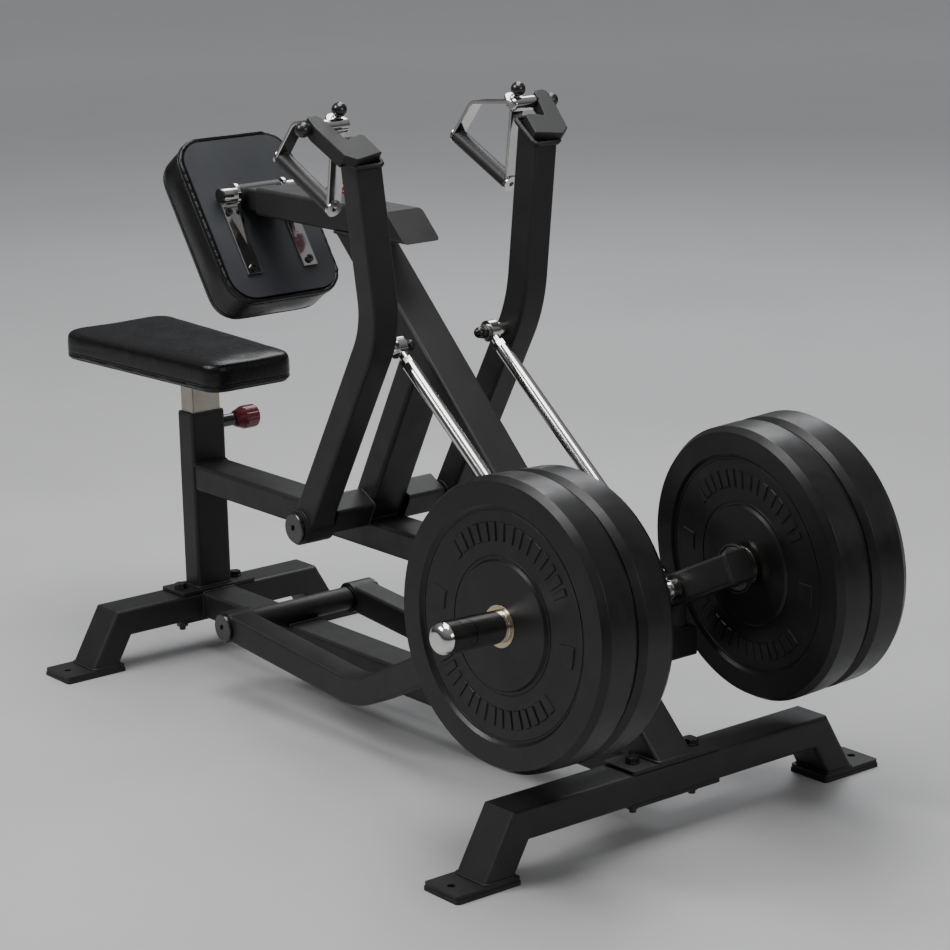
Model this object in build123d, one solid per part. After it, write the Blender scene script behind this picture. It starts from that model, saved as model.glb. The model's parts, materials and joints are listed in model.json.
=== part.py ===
from build123d import *
import os
from math import atan2, cos, radians, sin, tan

# Plate-loaded leverage row machine, millimetres.
# +X points from the seat to the weight plates ("front"), +Y is the user's left, +Z is up.
# Parts are modelled with x = 0 at the rear stabilizer, and moved on export so that the
# origin lies on the floor below the middle of the overall box.
# Points named as pairs are (x, z). One-sided parts are drawn on the user's right (-Y).

# ---------------------------------------------------------------- shared dimensions
BOX_MIDDLE_X = 605.9                 # rear stabilizer to the middle of the overall box
TUBE_W, TUBE_H, WALL, TUBE_R = 75.0, 50.0, 3.0, 7.0      # main tube
BORE_W, BORE_H = TUBE_W - 2 * WALL, TUBE_H - 2 * WALL    # inside of the main tube
SIDE_Y = TUBE_W / 2                  # side face of the main tubes
SQUARE, SQUARE_R = 50.0, 6.0         # square lever tube
SHAFT_R = 12.5

BASE_TOP = 114.0                     # top of the base tubes
BASE_BOTTOM = BASE_TOP - TUBE_H
BASE_MID = BASE_TOP - TUBE_H / 2
FRONT_X = 1287.5                     # front stabilizer station
BASE_PLATE_T = 6.0

POST_TOP = 455.0
RAIL_BOTTOM, RAIL_TOP = 312.0, 362.0
BOOM_BOTTOM, BOOM_TOP = 861.0, 911.0
BOOM_MID = (BOOM_BOTTOM + BOOM_TOP) / 2
BOOM_REAR_X = 270.0
SEAT_PIN = (0.0, 428.0)
BOOM_PIN = (320.0, BOOM_MID)
PIN_HOLE_R = 9.0                     # pull-pin hole in the main tubes

ARM_PIVOT = (567.0, 376.0)
ARM_Y = 152.0                        # middle plane of the lower lever arm
CARRIAGE_PIVOT = (301.0, 133.0)
CARRIAGE_Y = 137.0
CARRIAGE_BEND = (686.9, 100.7)
CARRIAGE_END = (1316.0, 405.2)
PIVOT_TUBE_R = 21.0                  # carriage pivot tube through the base beam

SWIVEL = (732.0, 1077.0)             # handle swivel bolt
LUG_IN_Y, LUG_OUT_Y = 219.0, 246.0   # flats of the swivel lug

nodes = {}


# ---------------------------------------------------------------- helpers
def at(point, y=0.0):
    """Vector from an (x, z) pair and a y."""
    return Vector(point[0], y, point[1])


def group(items):
    return Compound(children=[s for item in items for s in item.solids()])


def bar(p0, p1, w, h, r=0.0, side=(0, 1, 0)):
    """Rectangular bar from p0 to p1; w along side, h across it."""
    p0, p1 = Vector(*p0), Vector(*p1)
    d = p1 - p0
    section = RectangleRounded(w, h, r) if r > 0 else Rectangle(w, h)
    sketch = Plane(origin=p0, x_dir=side, z_dir=d) * section
    return extrude(sketch, amount=d.length, dir=d.normalized())


def tube(p0, p1, w=TUBE_W, h=TUBE_H, r=TUBE_R, side=(0, 1, 0)):
    inner = bar(p0, p1, w - 2 * WALL, h - 2 * WALL, r - WALL, side)
    return bar(p0, p1, w, h, r, side) - inner


def cyl(p0, p1, r):
    p0, p1 = Vector(*p0), Vector(*p1)
    d = p1 - p0
    return extrude(Plane(origin=p0, z_dir=d) * Circle(r), amount=d.length, dir=d.normalized())


def ycyl(point, y0, y1, r):
    """Cylinder along Y through an (x, z) point."""
    return cyl(at(point, y0), at(point, y1), r)


def hexbar(p0, p1, flats):
    """Hexagonal bar, given across its flats."""
    p0, p1 = Vector(*p0), Vector(*p1)
    d = p1 - p0
    sketch = Plane(origin=p0, z_dir=d) * RegularPolygon(flats / 2 / cos(radians(30)), 6)
    return extrude(sketch, amount=d.length, dir=d.normalized())


def ball_at(point, y, r):
    return Pos(point[0], y, point[1]) * Sphere(r)


def cut(shape, origin, normal, keep=Keep.BOTTOM):
    """Trim by a plane, keeping the side behind its normal by default."""
    return split(shape, bisect_by=Plane(origin=Vector(*origin), z_dir=Vector(*normal)), keep=keep)


def box(x0, x1, y0, y1, z0, z1):
    return Pos((x0 + x1) / 2, (y0 + y1) / 2, (z0 + z1) / 2) * Box(x1 - x0, y1 - y0, z1 - z0)


def rounded_plate(x0, x1, y0, y1, z0, z1, r):
    return fillet(box(x0, x1, y0, y1, z0, z1).edges().filter_by(Axis.Z), r)


def end_face(shape, direction):
    """The face lying farthest along a direction."""
    return shape.faces().sort_by(Axis((0, 0, 0), tuple(direction)))[-1]


def circles(shape):
    """Circular edges, from -Y to +Y."""
    return shape.edges().filter_by(GeomType.CIRCLE).sort_by(Axis.Y)


def pair(name, shape):
    """Store a right-hand (-Y) piece and its mirrored left-hand twin."""
    nodes["right_" + name] = shape
    nodes["left_" + name] = mirror(shape, about=Plane.XZ)


def both(*items):
    """Right-hand pieces and their mirror images as one list."""
    return [s for item in items for s in (item, mirror(item, about=Plane.XZ))]


# ---------------------------------------------------------------- stabilizers and foot pads
LEG_TILT = radians(30)               # legs, from vertical
LEG_L = 110.0                        # before the foot plate trims it
PAD_TOP, FOOT_TOP = 6.0, 13.0        # top of the rubber pads and of the foot plates
FOOT_W = 82.0                        # foot plate along X
PAD_GROW = 1.5                       # pad overhang around the foot plate
BOLT_HOLE_R = 6.5

# name, x, half straight length, foot plate from, to, anchor hole y, bolt x, bolt y
STABILIZERS = [
    ("rear", 0.0, 212.5, 218.5, 341.0, 318.0, -2.0, 62.0),
    ("front", FRONT_X, 316.6, 324.0, 446.0, 425.0, FRONT_X, 63.0),
]


def foot_slab(x, side, y_in, y_out, anchor_y, z0, z1, grow, r):
    y0, y1 = sorted((side * y_in, side * y_out))
    half = FOOT_W / 2 + grow
    slab = rounded_plate(x - half, x + half, y0 - grow, y1 + grow, z0, z1, r)
    return slab - cyl((x, side * anchor_y, z0 - 1), (x, side * anchor_y, z1 + 1), 6.5)


def stabilizer(x, half, foot, bolt_x, bolt_y):
    leg_y = half + LEG_L * sin(LEG_TILT)
    leg_z = BASE_MID - LEG_L * cos(LEG_TILT)
    points = [(x, -leg_y, leg_z), (x, -half, BASE_MID), (x, half, BASE_MID), (x, leg_y, leg_z)]
    path = Polyline(*points)
    start = Vector(*points[0])
    plane = Plane(origin=start, x_dir=(1, 0, 0), z_dir=Vector(*points[1]) - start)
    outer = plane * RectangleRounded(TUBE_W, TUBE_H, TUBE_R)
    inner = plane * RectangleRounded(BORE_W, BORE_H, TUBE_R - WALL)
    body = sweep(outer, path=path, transition=Transition.RIGHT)
    body -= sweep(inner, path=path, transition=Transition.RIGHT)
    body = body & box(x - 100, x + 100, -900, 900, FOOT_TOP, 400)
    for side in (-1, 1):
        body += foot_slab(x, side, *foot, PAD_TOP, FOOT_TOP, 0, 5)
    for y in (-bolt_y, bolt_y):
        body -= cyl((bolt_x, y, 40), (bolt_x, y, 150), BOLT_HOLE_R)
    return body


foot_pads = []
for name, x, half, *foot, bolt_x, bolt_y in STABILIZERS:
    nodes[name + "_stabilizer"] = stabilizer(x, half, foot, bolt_x, bolt_y)
    for side in (-1, 1):
        foot_pads.append(foot_slab(x, side, *foot, 0, PAD_TOP, PAD_GROW, 6))
nodes["foot_pads"] = group(foot_pads)

# ---------------------------------------------------------------- base beam, plates and bolts
beam = tube((SIDE_Y, 0, BASE_MID), (FRONT_X - TUBE_W / 2, 0, BASE_MID))
nodes["base_beam"] = beam - ycyl(CARRIAGE_PIVOT, -60, 60, PIVOT_TUBE_R)

REAR_BOLTS, FRONT_BOLTS = [
    [(bolt_x, -bolt_y), (bolt_x, bolt_y)] for *_, bolt_x, bolt_y in STABILIZERS
]
UNDER_Z = BASE_BOTTOM - BASE_PLATE_T
# x, half length along X, half width, bolts, underside z
BASE_PLATES = [
    (0.0, 36, 84, REAR_BOLTS, BASE_TOP),
    (FRONT_X, 36, 92, FRONT_BOLTS, BASE_TOP),
    (0.0, 30, 80, REAR_BOLTS, UNDER_Z),
    (FRONT_X, 33, 96, FRONT_BOLTS, UNDER_Z),
]


def base_plate(x, half_x, half_y, bolts, z):
    plate = rounded_plate(x - half_x, x + half_x, -half_y, half_y, z, z + BASE_PLATE_T, 6)
    for bx, by in bolts:
        plate -= cyl((bx, by, z - 1), (bx, by, z + 8), BOLT_HOLE_R)
    return plate


def base_bolt(x, y):
    """Vertical bolt through both base plates, washer and hexagon at each end."""
    top = BASE_TOP + BASE_PLATE_T
    bolt = cyl((x, y, UNDER_Z - 20), (x, y, top + 2.5), 6)
    bolt += cyl((x, y, top), (x, y, top + 2.5), 12)
    bolt += hexbar((x, y, top + 2.5), (x, y, top + 10), 19)
    bolt += cyl((x, y, UNDER_Z - 2.5), (x, y, UNDER_Z), 12)
    bolt += hexbar((x, y, UNDER_Z - 13), (x, y, UNDER_Z - 2.5), 19)
    return bolt


nodes["base_plates"] = group([base_plate(*row) for row in BASE_PLATES])
nodes["base_bolts"] = group([base_bolt(x, y) for x, y in REAR_BOLTS + FRONT_BOLTS])

# ---------------------------------------------------------------- seat post, spine and rail
post = tube((0, 0, BASE_TOP + BASE_PLATE_T), (0, 0, POST_TOP))
nodes["seat_post"] = post - ycyl(SEAT_PIN, 20, 60, PIN_HOLE_R)

SPINE_ANGLE = radians(44.6)          # from horizontal, rising to the rear
SPINE_FRONT = (697.0, 736.0)         # a point on its front face
spine_dir = Vector(-cos(SPINE_ANGLE), 0, sin(SPINE_ANGLE))
spine_normal = Vector(sin(SPINE_ANGLE), 0, cos(SPINE_ANGLE))     # forward and up
spine_mid = at(SPINE_FRONT) - spine_normal * (TUBE_H / 2)
spine_back = spine_mid - spine_normal * (TUBE_H / 2)
spine = tube(spine_mid - spine_dir * 980, spine_mid + spine_dir * 420)
spine = spine & box(-500, 2000, -100, 100, BASE_TOP + BASE_PLATE_T, BOOM_BOTTOM)
nodes["spine"] = spine

rail_mid = (RAIL_BOTTOM + RAIL_TOP) / 2
rail = tube((TUBE_H / 2, 0, rail_mid), (1150, 0, rail_mid))
nodes["main_rail"] = cut(rail, spine_back, spine_normal)

# ---------------------------------------------------------------- brace, rail to spine
BRACE_FOOT = (541.0, RAIL_TOP)       # its centreline at the rail
BRACE_ANGLE = radians(61.9)
brace_dir = Vector(cos(BRACE_ANGLE), 0, sin(BRACE_ANGLE))
brace_side = Vector(sin(BRACE_ANGLE), 0, -cos(BRACE_ANGLE))      # square to the brace
brace = tube(at(BRACE_FOOT) - brace_dir * 60, at(BRACE_FOOT) + brace_dir * 460)
brace = cut(brace, (0, 0, RAIL_TOP), (0, 0, 1), Keep.TOP)
nodes["rear_brace"] = cut(brace, spine_back, spine_normal)

# ---------------------------------------------------------------- boom
BOOM_CAP_T = 5.0
boom_front = Vector(650.0, 0, BOOM_TOP)      # top of the raked front end
boom = tube((BOOM_REAR_X, 0, BOOM_MID), (760, 0, BOOM_MID))
boom = cut(boom, boom_front, spine_normal)
boom -= ycyl(BOOM_PIN, 20, 60, PIN_HOLE_R)
# raked plate closing the front end
boom_cap = bar((560, 0, BOOM_MID), (760, 0, BOOM_MID), BORE_W, BORE_H, TUBE_R - WALL)
boom_cap = cut(boom_cap, boom_front, spine_normal)
boom_cap = cut(boom_cap, boom_front - spine_normal * BOOM_CAP_T, spine_normal, Keep.TOP)
nodes["boom"] = boom + boom_cap

# ---------------------------------------------------------------- outriggers
OUTRIGGER = (564.0, 386.0)           # centreline
OUTRIGGER_Y = 115.0                  # outer end
OUTRIGGER_END_T = 8.0
BORE_SQ, BORE_SQ_R = SQUARE - 2 * WALL, SQUARE_R - WALL
inner_end = at(OUTRIGGER, -SIDE_Y)
outrigger = bar(at(OUTRIGGER, -OUTRIGGER_Y), inner_end, SQUARE, SQUARE, SQUARE_R, brace_side)
outrigger -= bar(at(OUTRIGGER, -OUTRIGGER_Y + OUTRIGGER_END_T), inner_end,
                 BORE_SQ, BORE_SQ, BORE_SQ_R, brace_side)
outrigger -= ycyl(ARM_PIVOT, -120, -100, SHAFT_R)
nodes["outriggers"] = group(both(outrigger))

# ---------------------------------------------------------------- pivots
SLEEVE_R = 16.0
SLEEVE_CLEARANCE = 0.05              # hub on sleeve, radial


def pivot_parts(pivot, hub_r, hub_out, hub_in, flange_in, flange_r, cap_r):
    """Hub, its bore, the flanged sleeve it turns on and the end cap; y given as positive."""
    bore_end = -hub_out - 7
    hub = ycyl(pivot, -hub_out, -hub_in, hub_r)
    bore = ycyl(pivot, bore_end, -100, SLEEVE_R + SLEEVE_CLEARANCE)
    flange_out = hub_in - 0.1
    sleeve = ycyl(pivot, -hub_out, -flange_out, SLEEVE_R)
    sleeve += ycyl(pivot, -flange_out, -flange_in, flange_r)
    sleeve -= ycyl(pivot, bore_end, -100, SHAFT_R)
    cap = ycyl(pivot, -hub_out - 7, -hub_out - 0.2, cap_r)
    cap = chamfer(circles(cap)[0], 1.5)
    cap -= hexbar(at(pivot, -hub_out - 8), at(pivot, -hub_out - 3.5), 12)
    return hub, bore, sleeve, cap


ARM_HUB_Y, CARRIAGE_HUB_Y = 183.0, 163.0     # outer ends of the hubs
PIVOT_TUBE_Y = 108.0                         # ends of the carriage pivot tube
arm_hub, arm_bore, arm_sleeve, arm_cap = pivot_parts(
    ARM_PIVOT, hub_r=30, hub_out=ARM_HUB_Y, hub_in=125,
    flange_in=OUTRIGGER_Y, flange_r=19, cap_r=26)
carriage_hub, carriage_bore, carriage_sleeve, carriage_cap = pivot_parts(
    CARRIAGE_PIVOT, hub_r=28, hub_out=CARRIAGE_HUB_Y, hub_in=111,
    flange_in=PIVOT_TUBE_Y, flange_r=25, cap_r=25)
arm_shaft = ycyl(ARM_PIVOT, -ARM_HUB_Y - 0.2, -60, SHAFT_R)
carriage_shaft = ycyl(CARRIAGE_PIVOT, -CARRIAGE_HUB_Y - 0.2, CARRIAGE_HUB_Y + 0.2, SHAFT_R)
pivot_tube = ycyl(CARRIAGE_PIVOT, -PIVOT_TUBE_Y, PIVOT_TUBE_Y, PIVOT_TUBE_R)
nodes["pivot_caps"] = group(both(arm_cap, carriage_cap))
nodes["pivot_sleeves"] = group(both(arm_sleeve, carriage_sleeve))
nodes["pivot_shafts"] = group(both(arm_shaft) + [carriage_shaft])
nodes["carriage_pivot_tube"] = pivot_tube - ycyl(CARRIAGE_PIVOT, -120, 120, SHAFT_R)


def bent_tube(points, bend_r):
    """Square lever tube along a path with rounded bends."""
    path = FilletPolyline(*points, radius=bend_r)
    plane = Plane(origin=points[0], x_dir=(0, 1, 0), z_dir=points[1] - points[0])
    outer = sweep(plane * RectangleRounded(SQUARE, SQUARE, SQUARE_R), path=path)
    return outer - sweep(plane * RectangleRounded(BORE_SQ, BORE_SQ, BORE_SQ_R), path=path)


# ---------------------------------------------------------------- lever arms
ARM_BEND = (783.0, 748.0)
ARM_LEAN = 0.112                     # outward lean of the upper arm, y per z
ARM_TOP = 1038.0
ARM_BEND_R = 190.0
ARM_SPARE = 60.0                     # extra height before the raked cut
TOP_BLOCK_T, LUG_T = 16.0, 26.0      # raked top block and its rear lug
TOP_NORMAL = Vector(0.583, 0.0, 0.812).normalized()

# outlines in plan: x, distance from the middle plane
TOP_BLOCK = [(809, 159), (817, 212), (807, 230), (783, 237), (779, 206), (771, 174), (774, 167)]
LUG = [(774, 206), (800, 190), (806, 230), (738, 250), (731, 247),
       (728, 240), (728, 227), (733, 221), (745, 217)]


def raked_prism(outline, thickness):
    """Prism below the raked top plane, from a plan outline, with its top edges chamfered."""
    top = Vector(ARM_BEND[0], 0, ARM_TOP + TOP_BLOCK_T / TOP_NORMAL.Z)
    plane = Plane(origin=top, x_dir=(0, 1, 0), z_dir=TOP_NORMAL)
    local = [(-y, (ARM_BEND[0] - x) / TOP_NORMAL.Z) for x, y in outline]
    face = plane * make_face(Polyline(*local, close=True))
    prism = extrude(face, amount=thickness, dir=-TOP_NORMAL)
    return chamfer(end_face(prism, TOP_NORMAL).edges(), 1.2)


def lever_arm():
    def arm_point(z):
        return at((ARM_BEND[0], z), -ARM_Y - ARM_LEAN * (z - ARM_BEND[1]))

    low, bend = at(ARM_PIVOT, -ARM_Y), at(ARM_BEND, -ARM_Y)
    start = low - (bend - low).normalized() * 10
    arm = bent_tube([start, bend, arm_point(ARM_TOP + ARM_SPARE)], ARM_BEND_R)
    arm = cut(arm, arm_point(ARM_TOP), TOP_NORMAL)
    arm += arm_hub
    arm -= arm_bore
    block = raked_prism(TOP_BLOCK, TOP_BLOCK_T)
    lug = raked_prism(LUG, LUG_T)        # carries the handle's swivel bolt
    lug -= box(690, 747, -LUG_IN_Y, -150, 1000, 1160)
    lug -= box(690, 800, -320, -LUG_OUT_Y, 1000, 1160)
    top = block + lug
    top -= ycyl(SWIVEL, -300, -150, 7.0)
    return arm + top


pair("lever_arm", lever_arm())

# ---------------------------------------------------------------- carriage arms
CARRIAGE_START = (CARRIAGE_PIVOT[0] - 2, CARRIAGE_PIVOT[1] + 0.17)
CARRIAGE_BEND_R = 170.0
END_CAP_T = 4.0


def carriage_arm():
    points = [at(p, -CARRIAGE_Y) for p in (CARRIAGE_START, CARRIAGE_BEND, CARRIAGE_END)]
    arm = bent_tube(points, CARRIAGE_BEND_R)
    arm += carriage_hub
    arm -= carriage_bore
    direction = (points[2] - points[1]).normalized()
    cap = bar(points[2], points[2] + direction * END_CAP_T, SQUARE, SQUARE, SQUARE_R)
    return arm + fillet(end_face(cap, direction).edges(), 2)


pair("carriage_arm", carriage_arm())

# ---------------------------------------------------------------- weight horns and plates
HORN_R = 25.0
HORN_SWEEP, HORN_TILT = radians(3.2), radians(3.3)   # forward, and up
HORN_ROOT = (1272.6, 379.3)          # where the horn axis meets the middle plane
HORN_TIP = 452.0                     # along the axis from the middle plane
PLATE_R, PLATE_T = 225.0, 72.0
PLATE_START = 181.5                  # inner face of the inner plate, along the axis
PLATE_GAP = 1.8
RING_BORE_R = 25.1
CARRIAGE_FACE = (0, -CARRIAGE_Y - SQUARE / 2, 0)     # outer face of the carriage arm
horn_dir = Vector(sin(HORN_SWEEP) * cos(HORN_TILT), -cos(HORN_SWEEP) * cos(HORN_TILT),
                  sin(HORN_TILT))

# radius, depth through the plate: rim, chamfers, recesses and hub
PLATE_PROFILE = [
    (33.0, 0.5), (33.0, 0.0), (97, 0.0), (100, 4.5), (177, 4.5), (182, 0), (217.5, 0),
    (PLATE_R, 12), (PLATE_R, PLATE_T - 12), (217.5, PLATE_T), (182, PLATE_T),
    (177, PLATE_T - 4.5), (100, PLATE_T - 4.5), (97, PLATE_T), (33.0, PLATE_T),
    (33.0, PLATE_T - 0.5), (29.0, PLATE_T - 0.5), (29.0, 0.5), (33.0, 0.5),
]
# radius, depth: bore ring with a lip at each face
RING_PROFILE = [
    (RING_BORE_R, -0.8), (32.5, -0.8), (32.5, 0.5), (29.0, 0.5), (29.0, PLATE_T - 0.5),
    (32.5, PLATE_T - 0.5), (32.5, PLATE_T + 0.8), (RING_BORE_R, PLATE_T + 0.8),
    (RING_BORE_R, -0.8),
]


def along_horn(t):
    return at(HORN_ROOT) + horn_dir * t


def horn_cyl(t0, t1, r):
    return cyl(along_horn(t0), along_horn(t1), r)


def weight_horn():
    horn = horn_cyl(140, HORN_TIP, HORN_R)
    horn = fillet(circles(horn)[0], 16)
    horn = cut(horn, CARRIAGE_FACE, (0, 1, 0))
    horn -= horn_cyl(329, 332, 30) - horn_cyl(328, 333, 24.2)    # shallow groove
    collar = horn_cyl(145, 176, 37.5) - horn_cyl(130, 190, HORN_R)
    collar = cut(collar, CARRIAGE_FACE, (0, 1, 0))
    collar = chamfer(circles(collar)[0:2].sort_by(SortBy.RADIUS)[-1], 2)
    return horn + collar


def turned(profile, t):
    """Profile revolved about the horn axis, starting t along it."""
    shape = revolve(make_face(Plane.XZ * Polyline(*profile)), axis=Axis.Z)
    return Plane(origin=along_horn(t), z_dir=horn_dir) * shape


plate_starts = [PLATE_START, PLATE_START + PLATE_T + PLATE_GAP]
pair("weight_horn", weight_horn())
pair("inner_plate", turned(PLATE_PROFILE, plate_starts[0]))
pair("outer_plate", turned(PLATE_PROFILE, plate_starts[1]))
pair("plate_rings", group([turned(RING_PROFILE, t) for t in plate_starts]))

# ---------------------------------------------------------------- link rods
ROD_Y = 98.0
ROD_TOP = (754.6, 705.6)
ROD_BOTTOM = (1202.0, 350.0)
ROD_R, ROD_STUD_R, ROD_BOLT_R = 12.0, 8.0, 8.0
rod_top, rod_bottom = at(ROD_TOP, -ROD_Y), at(ROD_BOTTOM, -ROD_Y)
rod_dir = (rod_bottom - rod_top).normalized()
rod_ends = [(rod_top, rod_dir), (rod_bottom, -rod_dir)]      # eye centre, way into the rod


def rod_end(eye, inward):
    end = ycyl((eye.X, eye.Z), -ROD_Y - 8, -ROD_Y + 8, 18)
    end += cyl(eye + inward * 10, eye + inward * 60, ROD_STUD_R)
    end += hexbar(eye + inward * 29, eye + inward * 40, 22)
    return end - ycyl((eye.X, eye.Z), -120, -70, ROD_BOLT_R + 0.05)


def rod_bolt(point, start_y, eye_half):
    """Bolt with spacer, washer and domed nut; eye_half from the eye middle to each."""
    bolt = ycyl(point, start_y, -ROD_Y + 16, ROD_BOLT_R)
    bolt += ycyl(point, start_y, -ROD_Y - eye_half, 12)
    bolt += ycyl(point, -ROD_Y + eye_half, -ROD_Y + 11, 13)
    bolt += hexbar(at(point, -ROD_Y + 11), at(point, -ROD_Y + 21), 19)
    return bolt + ball_at(point, -ROD_Y + 24, 9.5)


rod = cyl(rod_top + rod_dir * 40, rod_bottom - rod_dir * 40, ROD_R)
for eye, inward in rod_ends:
    rod -= cyl(eye + inward * 39, eye + inward * 66, ROD_STUD_R)
pair("link_rod", rod)
pair("rod_ends", group([rod_end(eye, inward) for eye, inward in rod_ends]))
pair("rod_top_bolt", rod_bolt(ROD_TOP, -ARM_Y + SQUARE / 2, 8.4))
pair("rod_bottom_bolt", rod_bolt(ROD_BOTTOM, -CARRIAGE_Y + SQUARE / 2 + 0.5, 8.0))

# ---------------------------------------------------------------- stop bars and bumpers
STOP_Z = 250.0
STOP_Y = 160.0                       # outer end
stop_x = SPINE_FRONT[0] - (STOP_Z - SPINE_FRONT[1]) / tan(SPINE_ANGLE) - 19.0
stop_end = Vector(stop_x, -STOP_Y, STOP_Z)
stop = tube(stop_end, (stop_x, -SIDE_Y, STOP_Z), SQUARE, SQUARE, SQUARE_R, (1, 0, 0))
stop += bar(stop_end, stop_end + Vector(0, 3, 0), SQUARE, SQUARE, SQUARE_R, (1, 0, 0))
nodes["stop_bars"] = group(both(stop))

# each bumper ends just below the sloping underside of the carriage arm
slope = (CARRIAGE_END[1] - CARRIAGE_BEND[1]) / (CARRIAGE_END[0] - CARRIAGE_BEND[0])
underside_z = (CARRIAGE_END[1] + slope * (stop_x - CARRIAGE_END[0])
               - (SQUARE / 2) / cos(atan2(slope, 1)))
bumper = cyl((stop_x, -CARRIAGE_Y, STOP_Z + SQUARE / 2), (stop_x, -CARRIAGE_Y, STOP_Z + 90), 17)
bumper = cut(bumper, (stop_x, 0, underside_z - 0.4), (-slope, 0, 1))
nodes["stop_bumpers"] = group(both(bumper))

# ---------------------------------------------------------------- handles
HANDLE_Y = -185.0
STRIP_W, STRIP_T = 26.0, 6.0
HANDLE_TOP = (729.0, 1081.0)
HANDLE_SHOULDER = (620.0, 1072.0)
grip_rear = at((566.0, 1010.0), HANDLE_Y)
grip_front = at((708.0, 941.0), HANDLE_Y)
grip_dir = (grip_front - grip_rear).normalized()
grip_start = grip_rear + grip_dir * (STRIP_T / 2)
grip_end = grip_front - grip_dir * (STRIP_T / 2)
GRIP_CORE_R = 8.0
stud_foot = at((719, 1075), HANDLE_Y)
stud_dir = Vector(sin(radians(27)), 0, cos(radians(27)))


def strip(path):
    """Flat bar swept along a path in the handle plane."""
    plane = Plane(origin=path @ 0, x_dir=(0, 1, 0), z_dir=path % 0)
    return sweep(plane * RectangleRounded(STRIP_W, STRIP_T, 1.2), path=path)


def stud_cyl(t0, t1, r):
    return cyl(stud_foot + stud_dir * t0, stud_foot + stud_dir * t1, r)


def handle_frame():
    top = at(HANDLE_TOP, HANDLE_Y)
    frame = strip(FilletPolyline(top, at(HANDLE_SHOULDER, HANDLE_Y), grip_rear, radius=22))
    frame += strip(Line(top, grip_front))
    # round end plates of the grip
    for end in (grip_rear, grip_front):
        frame += cyl(end - grip_dir * 3, end + grip_dir * 3, 14.5)
    eye = ycyl(SWIVEL, -LUG_IN_Y + 0.5, HANDLE_Y + 15, 12)
    frame += fillet(circles(eye)[-1], 5)
    # raked stud with its collar and rounded disc
    frame += stud_cyl(0, 26, 6)
    frame += stud_cyl(-4, 9, 11)
    disc = stud_cyl(8, 13.5, 18.5)
    frame += fillet(disc.edges().filter_by(GeomType.CIRCLE), 2.2)
    frame += stud_cyl(13.5, 18.5, 9)
    frame -= ycyl(SWIVEL, -300, HANDLE_Y + 9, 7.05)
    frame += cyl(grip_start - grip_dir, grip_end + grip_dir, GRIP_CORE_R)
    # hex sockets in the end plates
    frame -= hexbar(grip_rear - grip_dir * 4, grip_rear + grip_dir, 9)
    frame -= hexbar(grip_front + grip_dir * 4, grip_front - grip_dir, 9)
    return frame


def swivel_bolt():
    """Ball head on a collar outside the lug, shank blind in the eye."""
    x, z = SWIVEL
    bolt = ycyl(SWIVEL, -256, HANDLE_Y + 8.5, 7)
    bolt += ycyl(SWIVEL, -LUG_OUT_Y - 4, -LUG_OUT_Y, 10.5)
    head = ball_at(SWIVEL, -LUG_OUT_Y - 11, 12.5)
    return bolt + (head & box(x - 20, x + 20, -300, -LUG_OUT_Y - 3, z - 20, z + 20))


def handle_ball():
    centre = stud_foot + stud_dir * 30.5
    ball = ball_at((centre.X, centre.Z), HANDLE_Y, 12.5)
    ball = cut(ball, stud_foot + stud_dir * 19, -stud_dir)
    return ball - stud_cyl(0, 26.4, 6.05)


frame = handle_frame()
grip = cyl(grip_start, grip_end, 14)
grip -= cyl(grip_start - grip_dir * 5, grip_end + grip_dir * 5, GRIP_CORE_R)
grip -= frame
pair("handle_frame", frame)
pair("handle_grip", grip)
pair("swivel_bolt", swivel_bolt())
pair("handle_ball", handle_ball())

# ---------------------------------------------------------------- sliding tubes and liners
LINER_GAP, LINER_T = 0.1, 2.4
SLIDE_W = BORE_W - 2 * (LINER_T + LINER_GAP)
SLIDE_H = BORE_H - 2 * (LINER_T + LINER_GAP)


def slide_tube(p0, p1):
    return bar(p0, p1, SLIDE_W, SLIDE_H, 4) - bar(p0, p1, SLIDE_W - 6, SLIDE_H - 6, 2)


def liner(mouth, outward, pin):
    """Liner 60 deep in a tube mouth, with a 3 mm lip outside it."""
    lip_end = mouth + outward * 3
    shape = bar(mouth - outward * 60, lip_end, BORE_W, BORE_H, TUBE_R - WALL)
    shape += bar(mouth, lip_end, TUBE_W - 1, TUBE_H - 1, TUBE_R)
    shape -= bar(mouth - outward * 80, mouth + outward * 20,
                 SLIDE_W + 2 * LINER_GAP, SLIDE_H + 2 * LINER_GAP, 4)
    return shape - ycyl(pin, 10, 60, PIN_HOLE_R)


nodes["tube_liners"] = group([
    liner(Vector(0, 0, POST_TOP), Vector(0, 0, 1), SEAT_PIN),
    liner(Vector(BOOM_REAR_X, 0, BOOM_MID), Vector(-1, 0, 0), BOOM_PIN)])

# ---------------------------------------------------------------- seat
SEAT_BOTTOM, SEAT_TOP = 531.0, 586.0
SEAT_PLATE_T, SEAT_BOARD_T = 5.0, 10.0
plate_z = SEAT_BOTTOM - SEAT_PLATE_T
carrier = slide_tube((0, 0, 190), (0, 0, plate_z))
for i in range(9):
    carrier -= ycyl((0, 260 + 28 * i), 10, 50, 6.5)
nodes["seat_carrier"] = carrier + rounded_plate(-95, 95, -55, 55, plate_z, SEAT_BOTTOM, 12)


def seat_slab(thickness, inset=0.0):
    """Rounded trapezoid, wider at the rear, standing on the seat plate."""
    x0, x1 = -304 + inset, 190 - inset
    rear, front = 124 - inset, 95 - inset
    face = make_face(Polyline((x0, -rear), (x1, -front), (x1, front), (x0, rear), close=True))
    face = fillet(face.vertices(), 38 - inset)
    return extrude(Pos(0, 0, SEAT_BOTTOM) * face, amount=thickness)


board = seat_slab(SEAT_BOARD_T, inset=9)
cushion = seat_slab(SEAT_TOP - SEAT_BOTTOM)
cushion = fillet(cushion.faces().sort_by(Axis.Z)[-1].edges(), 12)
nodes["seat_board"] = board
nodes["seat_cushion"] = cushion - board


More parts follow.
